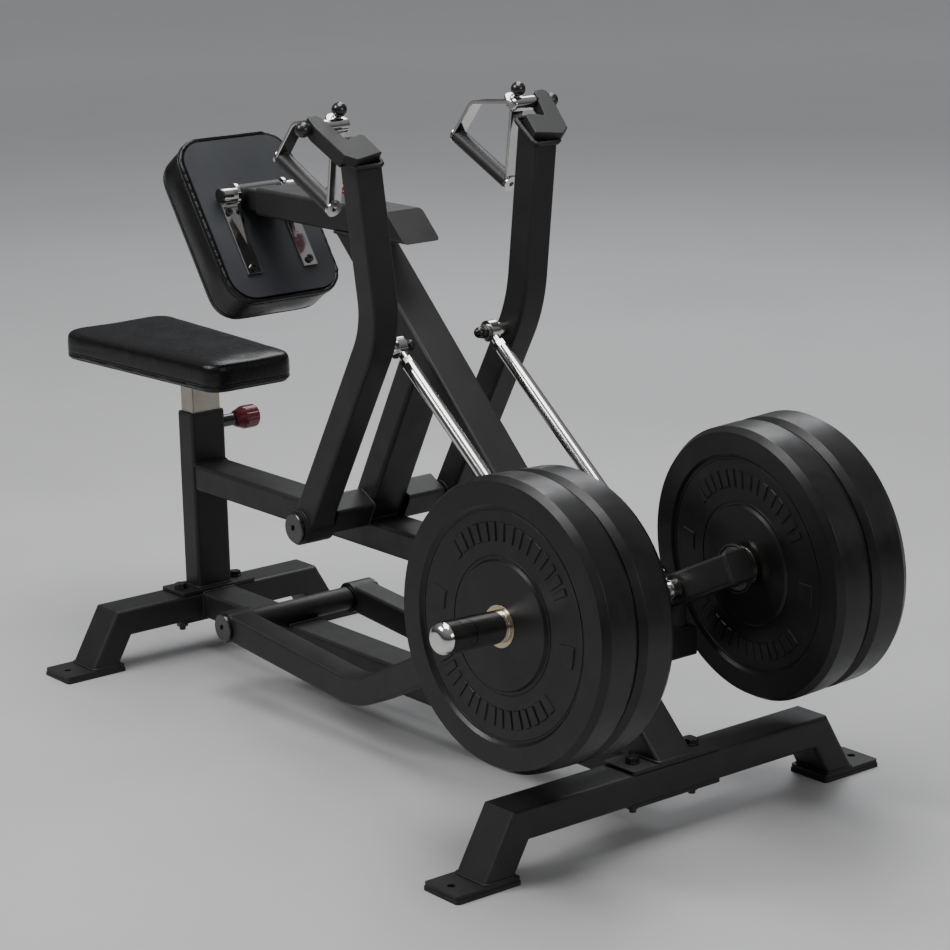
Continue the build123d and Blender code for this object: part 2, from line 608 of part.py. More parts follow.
# ---------------------------------------------------------------- pull pins
def pin_barrel(point):
    """Bored barrel with a flange on the +Y face of a main tube."""
    barrel = ycyl(point, SIDE_Y - WALL - 1.6, SIDE_Y + 32, 9.0)
    barrel += ycyl(point, SIDE_Y, SIDE_Y + 4, 14)
    barrel += ycyl(point, SIDE_Y + 4, SIDE_Y + 32, 12)
    barrel -= ycyl(point, 20, SIDE_Y + 26, 7.5)
    return barrel - ycyl(point, 20, SIDE_Y + 40, 4.05)


def pull_pin(point):
    """Plunger with a fluted knob."""
    pin = ycyl(point, SIDE_Y - WALL - LINER_T + 0.6, SIDE_Y + 8, 6.0)
    pin += ycyl(point, SIDE_Y, SIDE_Y + 50, 4.0)
    y0 = SIDE_Y + 34
    # radius, y
    profile = [(0, y0), (13, y0), (16, y0 + 5), (22.5, y0 + 22), (22.5, y0 + 52), (0, y0 + 52)]
    knob = revolve(make_face(Polyline(*profile, close=True)), Axis.Y)
    knob = fillet(circles(knob)[-1], 9)
    for i in range(10):
        angle = radians(36 * i)
        knob -= ycyl((26.4 * cos(angle), 26.4 * sin(angle)), y0 + 14, y0 + 60, 5.2)
    knob = Pos(point[0], 0, point[1]) * knob
    knob -= ycyl(point, SIDE_Y + 30, SIDE_Y + 50, 4.0)
    return pin + knob


nodes["pin_barrels"] = group([pin_barrel(SEAT_PIN), pin_barrel(BOOM_PIN)])
nodes["seat_pull_pin"] = pull_pin(SEAT_PIN)
nodes["boom_pull_pin"] = pull_pin(BOOM_PIN)

# ---------------------------------------------------------------- chest pad slide and hinge
HINGE = (219.0, 896.0)
HINGE_R, HINGE_BORE_R, HINGE_Y = 12.5, 9.5, 78.0
slide = slide_tube((HINGE[0] + 10, 0, BOOM_MID), (500, 0, BOOM_MID))
for i in range(6):
    slide -= ycyl((290 + 30 * i, BOOM_MID), 10, 50, 6.5)
hinge_sleeve = ycyl(HINGE, -44, 44, 16.5)
slide = slide - hinge_sleeve
slide += hinge_sleeve
slide -= ycyl(HINGE, -60, 60, HINGE_R + 0.05)
nodes["pad_slide_tube"] = slide
hinge_tube = ycyl(HINGE, -HINGE_Y, HINGE_Y, HINGE_R)
nodes["pad_hinge_tube"] = hinge_tube - ycyl(HINGE, -90, 90, HINGE_BORE_R)
hinge_cap = ycyl(HINGE, -HINGE_Y - 4, -HINGE_Y, 13)
hinge_cap += ycyl(HINGE, -HINGE_Y, -HINGE_Y + 10, HINGE_BORE_R)
nodes["hinge_end_caps"] = group(both(hinge_cap))

# ---------------------------------------------------------------- chest pad
PAD_CENTRE = (225.0, 854.0)          # middle of the pad's back face
pad_normal = Vector(-0.825, 0, -0.565).normalized()      # facing the user
pad_up = Vector(-0.565, 0, 0.825).normalized()
pad_plane = Plane(origin=at(PAD_CENTRE), x_dir=(0, 1, 0), z_dir=pad_normal)


def pad_prism(w, h, r, depth):
    return extrude(pad_plane * RectangleRounded(w, h, r), amount=depth)


pad = pad_prism(244, 332, 52, 98)
pad = fillet(end_face(pad, pad_normal).edges(), 26)
pad_board = pad_prism(224, 312, 44, 12)
nodes["chest_pad"] = pad - pad_board
nodes["chest_pad_board"] = pad_board

# ---------------------------------------------------------------- pad brackets and screws
BRACKET_Y, EAR_INSET, EAR_T = 60.0, 9.0, 6.0
FOOT_T = 5.0
to_hinge = at(HINGE) - at(PAD_CENTRE)
hinge_up = to_hinge.dot(pad_up)              # hinge height along the pad
hinge_back = -to_hinge.dot(pad_normal)       # hinge distance behind the pad


def pad_bracket(side):
    """Foot on the pad's back face and a gusseted ear on the hinge tube, with its screws."""
    y = side * BRACKET_Y
    ear_y = y - side * EAR_INSET
    foot_mid = at(PAD_CENTRE, y) - pad_normal * (FOOT_T / 2)
    bracket = bar(foot_mid + pad_up * (hinge_up + 14), foot_mid + pad_up * (hinge_up - 150),
                  30, FOOT_T, 1)
    hinge = at(HINGE, ear_y)
    reach = pad_normal * (hinge_back - 1)
    ear = ycyl(HINGE, ear_y - EAR_T / 2, ear_y + EAR_T / 2, 20)
    ear += bar(hinge, hinge + reach, EAR_T, 40)
    corner = at(HINGE, ear_y - EAR_T / 2)
    gusset = make_face(Polyline(corner - pad_up * 19 - pad_normal * 4,
                                corner - pad_up * 19 + reach,
                                corner - pad_up * 110 + reach, close=True))
    ear += extrude(gusset, amount=EAR_T, dir=(0, 1, 0))
    bracket = bracket + ear
    bracket -= ycyl(HINGE, -100, 100, HINGE_R)
    bracket -= pad_prism(300, 400, 10, 60)
    screws = []
    # distance below the hinge along the pad, outward shift
    for drop, shift in ((27, 7), (138, 0)):
        seat = at(PAD_CENTRE, y + side * shift) + pad_up * (hinge_up - drop)
        bracket -= cyl(seat - pad_normal * 12, seat, 4.2)
        screw = cyl(seat - pad_normal * 5, seat, 4.0)
        screw += cyl(seat - pad_normal * 9.5, seat - pad_normal * 5, 7.0)
        screw -= hexbar(seat - pad_normal * 10, seat - pad_normal * 7, 5)
        screws.append(screw)
    return bracket, screws


right_bracket, right_screws = pad_bracket(-1)
left_bracket, left_screws = pad_bracket(1)
nodes["pad_brackets"] = group([right_bracket, left_bracket])
nodes["pad_screws"] = group(right_screws + left_screws)

# ---------------------------------------------------------------- write
os.makedirs("parts", exist_ok=True)
for name, shape in nodes.items():
    export_step(shape.moved(Location((-BOX_MIDDLE_X, 0, 0))), f"parts/{name}.step")
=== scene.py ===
import bpy
import bmesh
import itertools
import json
import math
import numpy as np
from mathutils import Vector, Matrix, noise
from mathutils.bvhtree import BVHTree
from mathutils.kdtree import KDTree


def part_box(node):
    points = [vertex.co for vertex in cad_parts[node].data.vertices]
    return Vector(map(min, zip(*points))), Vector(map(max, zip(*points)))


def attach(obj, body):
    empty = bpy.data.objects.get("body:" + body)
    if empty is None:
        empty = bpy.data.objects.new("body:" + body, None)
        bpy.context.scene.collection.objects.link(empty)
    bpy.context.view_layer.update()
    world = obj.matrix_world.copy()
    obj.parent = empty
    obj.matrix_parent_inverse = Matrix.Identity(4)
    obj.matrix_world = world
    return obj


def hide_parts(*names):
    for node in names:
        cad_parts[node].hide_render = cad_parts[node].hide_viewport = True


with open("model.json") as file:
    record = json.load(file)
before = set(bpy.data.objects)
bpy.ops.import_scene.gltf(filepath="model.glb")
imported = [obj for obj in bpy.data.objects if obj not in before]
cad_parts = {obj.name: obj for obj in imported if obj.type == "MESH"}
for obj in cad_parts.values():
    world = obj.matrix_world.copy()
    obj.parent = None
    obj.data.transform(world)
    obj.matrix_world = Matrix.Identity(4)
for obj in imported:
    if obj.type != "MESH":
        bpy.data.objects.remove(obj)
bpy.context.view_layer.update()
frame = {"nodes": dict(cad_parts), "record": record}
scene = bpy.context.scene

ORIGIN_X = 605.9  # design x of the row frame's origin, mm
X, Y, Z = Vector((1, 0, 0)), Vector((0, 1, 0)), Vector((0, 0, 1))
SIDES = ((-1, "right"), (1, "left"))  # sign of y, name


def point(x, y, z):
    """Design millimetres to row-frame metres."""
    return Vector(((x - ORIGIN_X) / 1000, y / 1000, z / 1000))


def lerp(start, end, t):
    return start + (end - start) * t


def clamp01(value):
    return max(0.0, min(1.0, value))


def axes_matrix(x_axis, y_axis, z_axis, origin):
    matrix = Matrix((x_axis, y_axis, z_axis)).transposed().to_4x4()
    matrix.translation = origin
    return matrix


# Plate horn, shared by its weld and the plate markings
HORN_ROOT = point(1272.6, 0, 379.3)


def horn_axis(sign):
    """Outward direction of a plate horn, swept towards +X and tilted up."""
    sweep, tilt = math.radians(3.2), math.radians(3.3)
    return Vector((math.sin(sweep) * math.cos(tilt),
                   sign * math.cos(sweep) * math.cos(tilt),
                   math.sin(tilt)))


# ------------------------------------------------------------------ materials
class Graph:
    """Adds nodes to a shader tree. An input takes a plain value or another node's socket."""

    def __init__(self, tree):
        self.tree = tree

    def feed(self, socket, value):
        if isinstance(value, bpy.types.NodeSocket):
            self.tree.links.new(value, socket)
        else:
            socket.default_value = value

    def add(self, kind, inputs=None, **settings):
        node = self.tree.nodes.new(kind)
        for key, value in settings.items():
            setattr(node, key, value)
        for key, value in (inputs or {}).items():
            self.feed(node.inputs[key], value)
        return node

    def ramp(self, value, stops):
        """Two (position, color) stops."""
        node = self.add("ShaderNodeValToRGB", {0: value})
        for element, (position, color) in zip(node.color_ramp.elements, stops):
            element.position = position
            element.color = (*color, 1)
        return node.outputs[0]


class Material(Graph):
    def __init__(self, name):
        self.material = bpy.data.materials.new(name)
        self.material.use_nodes = True
        super().__init__(self.material.node_tree)
        self.tree.nodes.clear()
        output = self.add("ShaderNodeOutputMaterial")
        self.shader = self.add("ShaderNodeBsdfPrincipled")
        self.feed(output.inputs[0], self.shader.outputs[0])
        self.coords = self.add("ShaderNodeTexCoord").outputs["Object"]

    def noise(self, scale, detail, rough=0.55, warp=0.0, stretch=None):
        coords = self.coords
        if stretch:
            mapping = self.add("ShaderNodeMapping", {0: coords, "Scale": stretch})
            coords = mapping.outputs[0]
        return self.add("ShaderNodeTexNoise", {
            "Scale": scale, "Detail": detail, "Roughness": rough,
            "Distortion": warp, "Vector": coords}).outputs["Fac"]

    def remap(self, value, over, give):
        """Spread the range `over` of a value onto the range `give`."""
        return self.add("ShaderNodeMapRange", {
            0: value, "From Min": over[0], "From Max": over[1],
            "To Min": give[0], "To Max": give[1]}).outputs[0]

    def patches(self, scale, detail, give, over=(0.25, 0.8), **noise_options):
        return self.remap(self.noise(scale, detail, **noise_options), over, give)

    def tones(self, value, low, high, high_at=0.7):
        return self.ramp(value, ((0.3, low), (high_at, high)))

    def mix(self, amount, base, top):
        if isinstance(top, tuple):
            top = (*top, 1)
        return self.add("ShaderNodeMix", {0: amount, 6: base, 7: top},
                        data_type="RGBA", blend_type="MIX").outputs[2]

    def bump(self, height, strength, distance, over=None):
        inputs = {"Strength": strength, "Distance": distance, "Height": height}
        if over is not None:
            inputs["Normal"] = over
        return self.add("ShaderNodeBump", inputs).outputs[0]

    def bevel(self, radius):
        return self.add("ShaderNodeBevel", {"Radius": radius}, samples=4).outputs[0]

    def edges(self, radius):
        """1 on sharp edges, 0 on flats, from how far the bevelled normal leaves the true one."""
        normal = self.add("ShaderNodeNewGeometry").outputs["Normal"]
        facing = self.add("ShaderNodeVectorMath", {0: normal, 1: self.bevel(radius)},
                          operation="DOT_PRODUCT").outputs["Value"]
        return self.remap(facing, over=(0.98, 0.75), give=(0, 1))

    def finish(self, color, roughness, normal, others=None):
        inputs = {"Base Color": color, "Roughness": roughness, "Normal": normal}
        for key, value in {**inputs, **(others or {})}.items():
            self.feed(self.shader.inputs[key], value)
        return self.material


def scaled(color, factor):
    return tuple(channel * factor for channel in color)


def powder(name):
    """Near-black textured paint, paler on rubbed edges and under thin dust."""
    mat = Material(name)
    fine = mat.noise(scale=900, detail=2)
    color = mat.tones(mat.noise(scale=3.2, detail=3),
                      low=(0.0105, 0.0104, 0.0103), high=(0.0150, 0.0149, 0.0147))
    speckle = mat.remap(fine, over=(0.35, 0.75), give=(0.0, 0.35))
    color = mat.mix(speckle, color, (0.026, 0.026, 0.026))
    wear = mat.patches(scale=60, detail=5, over=(0.40, 0.75), give=(0.0, 1.0))
    rubbed = mat.add("ShaderNodeMath", {0: mat.edges(radius=0.0022), 1: wear},
                     operation="MULTIPLY").outputs[0]
    color = mat.mix(rubbed, color, (0.055, 0.055, 0.055))
    dust = mat.patches(scale=14, detail=6, rough=0.62, over=(0.45, 0.85), give=(0.0, 0.06))
    color = mat.mix(dust, color, (0.12, 0.12, 0.115))
    waves = mat.bump(mat.noise(scale=140, detail=3), strength=0.06, distance=0.001,
                     over=mat.bevel(0.0016))
    return mat.finish(
        color, mat.patches(scale=22, detail=5, over=(0.2, 0.8), give=(0.40, 0.54)),
        mat.bump(fine, strength=0.16, distance=0.0006, over=waves),
        {"Specular IOR Level": 0.34})


def metal(name, color, gloss, dirt, brush=None):
    """`gloss` is the roughness range, `brush` stretches the grain of a brushed finish."""
    mat = Material(name)
    tone = mat.tones(mat.noise(scale=18, detail=5), low=scaled(color, 0.86), high=color)
    stain = mat.patches(scale=55, detail=6, rough=0.7, over=(0.52, 0.85), give=(0.0, dirt))
    tone = mat.mix(stain, tone, (0.10, 0.09, 0.08))
    normal = mat.bevel(0.0006)
    if brush:
        normal = mat.bump(mat.noise(scale=260, detail=3, stretch=brush),
                          strength=0.22, distance=0.0004, over=normal)
    else:
        normal = mat.bump(mat.noise(scale=120, detail=3),
                          strength=0.02, distance=0.0006, over=normal)
    return mat.finish(tone, mat.patches(scale=35, detail=6, rough=0.65, give=gloss),
                      normal, {"Metallic": 1.0})


def vinyl(name, color, gloss, grain):
    """Leathercloth with painted shade in the creases between its grain cells; `grain` is the
    crease bump.
    """
    mat = Material(name)
    tone = mat.tones(mat.noise(scale=6, detail=4),
                     low=scaled(color, 0.8), high=scaled(color, 1.25), high_at=0.75)
    cell = mat.add("ShaderNodeTexVoronoi", {"Scale": 780, "Vector": mat.coords},
                   feature="DISTANCE_TO_EDGE").outputs["Distance"]
    crease = mat.remap(cell, over=(0.0, 0.12), give=(0.0, 1.0))
    # painted shade: the colour darkens in the grain creases, as if shade fell in them
    painted_crease_shade = mat.remap(cell, over=(0.0, 0.10), give=(0.45, 0.0))
    tone = mat.mix(painted_crease_shade, tone, (0.004, 0.004, 0.004))
    waves = mat.bump(mat.noise(scale=90, detail=3), strength=0.05, distance=0.0008)
    return mat.finish(tone, mat.patches(scale=26, detail=5, rough=0.6, give=gloss),
                      mat.bump(crease, strength=grain, distance=0.00035, over=waves),
                      {"Specular IOR Level": 0.34})


def rubber(name, color, gloss, bump, grain_scale, smear=0.10):
    """`smear` is the strength of the pale scuffs."""
    mat = Material(name)
    tone = mat.tones(mat.noise(scale=7, detail=5, rough=0.6),
                     low=scaled(color, 0.75), high=scaled(color, 1.35), high_at=0.75)
    scuffs = mat.patches(scale=11, detail=7, rough=0.68, warp=1.5,
                         over=(0.50, 0.80), give=(0.0, smear))
    tone = mat.mix(scuffs, tone, (0.075, 0.075, 0.073))
    return mat.finish(tone, mat.patches(scale=30, detail=6, rough=0.65, give=gloss),
                      mat.bump(mat.noise(scale=grain_scale, detail=3), strength=bump,
                               distance=0.0005, over=mat.bevel(0.0012)),
                      {"Specular IOR Level": 0.36})


def plastic(name, color, gloss, bump, coat=0.0):
    mat = Material(name)
    tone = mat.tones(mat.noise(scale=40, detail=4),
                     low=scaled(color, 0.8), high=scaled(color, 1.2), high_at=0.75)
    return mat.finish(tone, mat.patches(scale=70, detail=5, give=gloss),
                      mat.bump(mat.noise(scale=600, detail=2), strength=bump,
                               distance=0.0004, over=mat.bevel(0.0008)),
                      {"Coat Weight": coat, "Coat Roughness": 0.12})


def bolt_stack(name):
    """Bright spacer outboard, black domed nut inboard, split by distance from the middle plane."""
    mat = Material(name)
    across = mat.add("ShaderNodeSeparateXYZ", {0: mat.coords}).outputs["Y"]
    distance = mat.add("ShaderNodeMath", {0: across}, operation="ABSOLUTE").outputs[0]
    outboard = mat.remap(distance, over=(0.0868, 0.0872), give=(0.0, 1.0))
    cloud = mat.noise(scale=30, detail=5)
    bright = mat.tones(cloud, low=(0.62, 0.60, 0.55), high=(0.78, 0.77, 0.74))
    dark = mat.tones(cloud, low=(0.008, 0.008, 0.009), high=(0.016, 0.016, 0.017))
    return mat.finish(mat.mix(outboard, dark, bright),
                      mat.patches(scale=60, detail=5, give=(0.10, 0.24)),
                      mat.bump(mat.noise(scale=200, detail=3), strength=0.03,
                               distance=0.0004, over=mat.bevel(0.0006)),
                      {"Metallic": outboard})


def floor_material(name):
    mat = Material(name)
    color = mat.tones(mat.noise(scale=0.7, detail=5),
                      low=(0.40, 0.40, 0.405), high=(0.46, 0.46, 0.465))
    stain = mat.patches(scale=24, detail=6, rough=0.7, over=(0.5, 0.85), give=(0.0, 0.12))
    color = mat.mix(stain, color, (0.34, 0.34, 0.345))
    # paler with distance, so the far floor does not fall away into the dark
    distance = mat.add("ShaderNodeVectorMath", {0: mat.coords},
                       operation="LENGTH").outputs["Value"]
    far = mat.remap(distance, over=(2.5, 11.0), give=(0.0, 1.0))
    color = mat.mix(far, color, (0.88, 0.88, 0.89))
    return mat.finish(color, mat.patches(scale=3, detail=5, over=(0.2, 0.8), give=(0.52, 0.70)),
                      mat.bump(mat.noise(scale=60, detail=6), strength=0.05, distance=0.001))


RECIPES = {
    "link_bolt": (bolt_stack, {}),
    "black_oxide": (plastic, dict(
        color=(0.013, 0.013, 0.014), gloss=(0.20, 0.36), bump=0.12, coat=0.15)),
    "powder_coat": (powder, {}),
    "chrome": (metal, dict(color=(0.68, 0.67, 0.65), gloss=(0.05, 0.16), dirt=0.08)),
    "nickel": (metal, dict(
        color=(0.46, 0.42, 0.36), gloss=(0.26, 0.42), dirt=0.22, brush=(1, 1, 0.05))),
    "zinc": (metal, dict(color=(0.48, 0.49, 0.50), gloss=(0.24, 0.42), dirt=0.2)),
    "ground_steel": (metal, dict(
        color=(0.50, 0.51, 0.52), gloss=(0.18, 0.30), dirt=0.15, brush=(0.1, 1, 0.1))),
    "vinyl": (vinyl, dict(color=(0.0054, 0.0054, 0.0058), gloss=(0.22, 0.36), grain=0.1575)),
    # painted light: the same vinyl as the pads, its colour made lighter and bluer for how light
    # falls on the pad's back
    "board": (vinyl, dict(color=(0.034, 0.037, 0.043), gloss=(0.36, 0.52), grain=0.225)),
    "plate_rubber": (rubber, dict(
        color=(0.0068, 0.0067, 0.0066), gloss=(0.26, 0.46), bump=0.14, grain_scale=520)),
    "foot_rubber": (rubber, dict(
        color=(0.018, 0.018, 0.017), gloss=(0.6, 0.8), bump=0.5, grain_scale=260, smear=0.22)),
    "grip_rubber": (rubber, dict(
        color=(0.020, 0.020, 0.021), gloss=(0.36, 0.52), bump=0.2, grain_scale=700)),
    "black_plastic": (plastic, dict(
        color=(0.010, 0.010, 0.011), gloss=(0.16, 0.30), bump=0.05, coat=0.3)),
    "liner_plastic": (plastic, dict(color=(0.014, 0.014, 0.014), gloss=(0.4, 0.55), bump=0.1)),
    "maroon_plastic": (plastic, dict(
        color=(0.145, 0.012, 0.018), gloss=(0.24, 0.38), bump=0.08, coat=0.25)),
    "brass_insert": (metal, dict(color=(0.56, 0.47, 0.33), gloss=(0.16, 0.32), dirt=0.3)),
}
MATERIALS = {name: build(name, **options) for name, (build, options) in RECIPES.items()}


def paint_cad():
    slots = {part["node"]: part["material_slot"] for part in frame["record"]["subparts"]}
    for name, obj in frame["nodes"].items():
        is_link_bolt = "_rod_top_bolt" in name or "_rod_bottom_bolt" in name
        obj.data.materials.clear()
        obj.data.materials.append(MATERIALS["link_bolt" if is_link_bolt else slots[name]])


paint_cad()


# ------------------------------------------------------------------ mesh helpers
def shade_smooth(data):
    data.polygons.foreach_set("use_smooth", [True] * len(data.polygons))


def add_piece(name, mesh, material, body, smooth=True):
    """Turn a bmesh into an object that rides a body; its slot has the material's name."""
    data = bpy.data.meshes.new(name)
    mesh.to_mesh(data)
    mesh.free()
    obj = bpy.data.objects.new(name, data)
    scene.collection.objects.link(obj)
    data.materials.append(MATERIALS[material])
    if smooth:
        shade_smooth(data)
    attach(obj, body)
    return obj


def circle(centre, axis_1, axis_2, radius, count):
    points = []
    for k in range(count):
        angle = 2 * math.pi * k / count
        points.append(centre + (axis_1 * math.cos(angle) + axis_2 * math.sin(angle)) * radius)
    return points


def ring_axes(axis):
    first = axis.orthogonal().normalized()
    return first, axis.cross(first)


def new_ring(mesh, *circle_options):
    return [mesh.verts.new(p) for p in circle(*circle_options)]


def bridge(mesh, ring, following, shift=0):
    count = len(ring)
    for k in range(count):
        mesh.faces.new((ring[k], ring[(k + 1) % count],
                        following[(k + 1 + shift) % count], following[(k + shift) % count]))


def bridge_open(mesh, rings):
    """Skin a row of rings and close both ends."""
    for ring, following in zip(rings, rings[1:]):
        bridge(mesh, ring, following)
    mesh.faces.new(list(reversed(rings[0])))
    mesh.faces.new(rings[-1])


def sweep_tube(mesh, points, radius, sides=8, closed=True, scales=None):
    """A round tube along points; `scales` multiplies the radius at each of them."""
    count = len(points)
    rings = []
    first = None
    for i in range(count):
        before = points[(i - 1) % count] if (closed or i > 0) else points[i]
        after = points[(i + 1) % count] if (closed or i < count - 1) else points[i]
        tangent = (after - before).normalized()
        if first is None:
            first = tangent.orthogonal().normalized()
        else:
            first = (first - tangent * first.dot(tangent)).normalized()
        ring_radius = radius * (scales[i] if scales else 1)
        rings.append(new_ring(mesh, points[i], first, tangent.cross(first),
                              ring_radius, sides))
    if not closed:
        bridge_open(mesh, rings)
        return
    for ring, following in zip(rings, rings[1:]):
        bridge(mesh, ring, following)

    # line the last ring up with the first so the seam does not twist
    def mismatch(shift):
        return sum((rings[-1][k].co - rings[0][(k + shift) % sides].co).length
                   for k in range(sides))

    bridge(mesh, rings[-1], rings[0], min(range(sides), key=mismatch))


def resample(points, step, closed=True):
    """Even points along a path, about one step apart."""
    source = list(points) + ([points[0]] if closed else [])
    reach = [0.0]
    for start, end in zip(source, source[1:]):
        reach.append(reach[-1] + (end - start).length)
    count = max(6, int(reach[-1] / step))
    spacing = reach[-1] / count
    result = []
    i = 0
    for k in range(count if closed else count + 1):
        target = k * spacing
        while i < len(reach) - 2 and reach[i + 1] < target - 1e-12:
            i += 1
        length = reach[i + 1] - reach[i]
        t = (target - reach[i]) / length if length > 0 else 0
        result.append(source[i].lerp(source[i + 1], clamp01(t)))
    return result


# ------------------------------------------------------------------ weld beads
TUBE_THIN, TUBE_DEEP = 0.0505, 0.0755  # bead outline round the main tubes
LIGHT_TUBE = 0.0502  # bead outline round the square tubes
HEAVY_BEAD = 0.0030
BEAD_STEP = 0.0018
CORNER_STEPS = 5
bead_numbers = itertools.count(1)


def weld(mesh, points, radius=0.0026, closed=True):
    """A rippled weld bead along a path; each bead starts its ripple at its own phase."""
    path = resample(points, BEAD_STEP, closed)
    phase = next(bead_numbers) * 1.7
    scales = [0.92 + 0.13 * abs(math.sin(i * 0.95 + phase)) + 0.10 * noise.noise(p * 260)
              for i, p in enumerate(path)]
    sweep_tube(mesh, path, radius, 6, closed, scales)


def weld_rectangle(mesh, centre, wide, tall, width, height, corner=0.007, bead=0.0026):
    """A bead on a rounded rectangle, `width` along `wide` and `height` along `tall`."""
    points = []
    for sign_w, sign_t, start in ((1, 1, 0), (-1, 1, 90), (-1, -1, 180), (1, -1, 270)):
        for k in range(CORNER_STEPS + 1):
            angle = math.radians(start + 90 * k / CORNER_STEPS)
            points.append(centre
                          + wide * (sign_w * (width / 2 - corner) + corner * math.cos(angle))
                          + tall * (sign_t * (height / 2 - corner) + corner * math.sin(angle)))
    weld(mesh, points, bead)


def meet_plane(start, direction, on_plane, normal):
    return start + direction * ((on_plane - start).dot(normal) / direction.dot(normal))


def weld_frame():
    """Beads of the fixed frame. Places are design mm; angles are from the floor."""
    base_top = 120.6
    base_axis = 89
    spine_angle = math.radians(44.6)
    spine_middle = Vector((697, 0, 736))
    spine_normal = Vector((math.sin(spine_angle), 0, math.cos(spine_angle)))
    spine_along = Vector((-math.cos(spine_angle), 0, math.sin(spine_angle)))
    spine_back = spine_middle - spine_normal * 50.4
    brace_angle = math.radians(61.9)
    brace_along = Vector((math.cos(brace_angle), 0, math.sin(brace_angle)))
    brace_normal = Vector((math.sin(brace_angle), 0, -math.cos(brace_angle)))
    brace_top = meet_plane(Vector((541, 0, 362)), brace_along, spine_back, spine_normal)
    rail_end = meet_plane(Vector((900, 0, 337)), X, spine_back, spine_normal)

    def spine_cut(z):
        """Centre of the spine's level cut at height z."""
        x = spine_middle.x - (z - spine_middle.z) / math.tan(spine_angle)
        return point(x - 35.6, 0, z)

    mesh = bmesh.new()
    weld_rectangle(mesh, point(0, 0, base_top), X, Y, TUBE_THIN, TUBE_DEEP)
    for x, z in ((25.4, 337), (37.9, base_axis), (1249.6, base_axis)):
        weld_rectangle(mesh, point(x, 0, z), Y, Z, TUBE_DEEP, TUBE_THIN)
    # centre, direction of the cut, its length
    for centre, along, length in (
        (spine_cut(base_top), X, 0.0717),
        (spine_cut(860.4), X, 0.0717),
        (point(541.2, 0, 362.6), X, 0.0572),
        (point(*brace_top), spine_along, TUBE_THIN / abs(brace_normal.dot(spine_along))),
        (point(*rail_end), spine_along, TUBE_THIN / math.sin(spine_angle)),
    ):
        weld_rectangle(mesh, centre, along, Y, length, TUBE_DEEP, bead=HEAVY_BEAD)
    # outriggers on the brace
    for sign, _ in SIDES:
        weld_rectangle(mesh, point(564, sign * 37.7, 386), brace_normal, brace_along,
                       LIGHT_TUBE, LIGHT_TUBE, corner=0.006, bead=0.0017)
    # stabilizer legs on their foot plates, the legs sloping 30 degrees from upright
    for x, half_width in ((0, 212.5), (1287.5, 316.6)):
        y = half_width + (base_axis - 13.4) * math.tan(math.radians(30))
        for sign, _ in SIDES:
            weld_rectangle(mesh, point(x, sign * y, 13.6), X, Y, TUBE_DEEP, 0.0582)
    # saddle welds of the lower pivot tube
    for offset in (-20.6, 20.6):
        path = [point(301 + offset, y, 114.8) for y in (-37, 0, 37)]
        weld(mesh, path, 0.0028, closed=False)
    add_piece("frame_weld_beads", mesh, "powder_coat", "frame")


def square_to(direction):
    """The direction turned a quarter turn in the XZ plane."""
    return Vector((-direction.z, 0, direction.x))


def weld_arm(sign, side):
    hub_x, hub_z = 567, 376
    top_x, top_z = 783, 748
    block_z = 1038
    mesh = bmesh.new()
    # arc on the hub, on the side where the arm leaves it
    along = (point(top_x, 0, top_z) - point(hub_x, 0, hub_z)).normalized()
    across = square_to(along)
    hub = point(hub_x, sign * 177.4, hub_z)
    arc = []
    for degrees in range(-66, 67, 6):
        angle = math.radians(degrees)
        arc.append(hub + (along * math.cos(angle) + across * math.sin(angle)) * 0.0302)
    weld(mesh, arc, 0.0020, closed=False)
    # under the raked top block; the arm leans outward as it rises
    rake_normal = Vector((0.583, 0, 0.812))
    rake_along = Vector((rake_normal.z, 0, -rake_normal.x))
    block_y = 152 + 0.112 * (block_z - top_z)
    weld_rectangle(mesh, point(top_x, sign * block_y, block_z) - rake_normal * 0.0004,
                   rake_along, Y, 0.0530 / 0.812, 0.0530, bead=0.0046)
    add_piece(side + "_arm_weld_beads", mesh, "powder_coat", side + "_arm")


def weld_carriage(sign, side):
    mesh = bmesh.new()
    # horn collar, run along the horn onto the carriage's outer face
    axis = horn_axis(sign)
    face_y = sign * 0.1622
    ring = circle(HORN_ROOT, *ring_axes(axis), 0.0378, 72)
    weld(mesh, [p + axis * ((face_y - p.y) / axis.y) for p in ring])
    along = (point(1316, 0, 405.2) - point(686.9, 0, 100.7)).normalized()
    weld_rectangle(mesh, point(1316, sign * 137, 405.2), square_to(along), Y,
                   LIGHT_TUBE, LIGHT_TUBE, corner=0.006, bead=0.0018)
    add_piece(side + "_carriage_weld_beads", mesh, "powder_coat", side + "_carriage")


weld_frame()
for sign, side in SIDES:
    weld_arm(sign, side)
    weld_carriage(sign, side)


# ------------------------------------------------------------------ cushions
HALF_WIDTH = 0.122  # of both cushions, along Y
VOXEL = 0.005
CLOTH_FRAMES = 20
CLOTH = dict(
    quality=5, mass=0.35, use_pressure=True, uniform_pressure_force=4.0,
    tension_stiffness=12, compression_stiffness=12, shear_stiffness=6,
    bending_stiffness=1.2, vertex_group_mass="pin", pin_stiffness=1.0)
STITCH_PITCH, STITCH_LENGTH, STITCH_RADIUS = 0.0052, 0.0036, 0.00055
STITCH_PROFILE = ((-0.5, 0.45), (-0.25, 0.9), (0, 1.0), (0.25, 0.9), (0.5, 0.45))  # place, scale
SEAM_STEP = 0.003
SEAM_RAYS = 260


def read_vectors(vertices, field="co"):
    flat = np.zeros(len(vertices) * 3)
    vertices.foreach_get(field, flat)
    return flat.reshape(-1, 3)


def write_places(data, places):
    data.vertices.foreach_set("co", places.ravel())
    data.update()


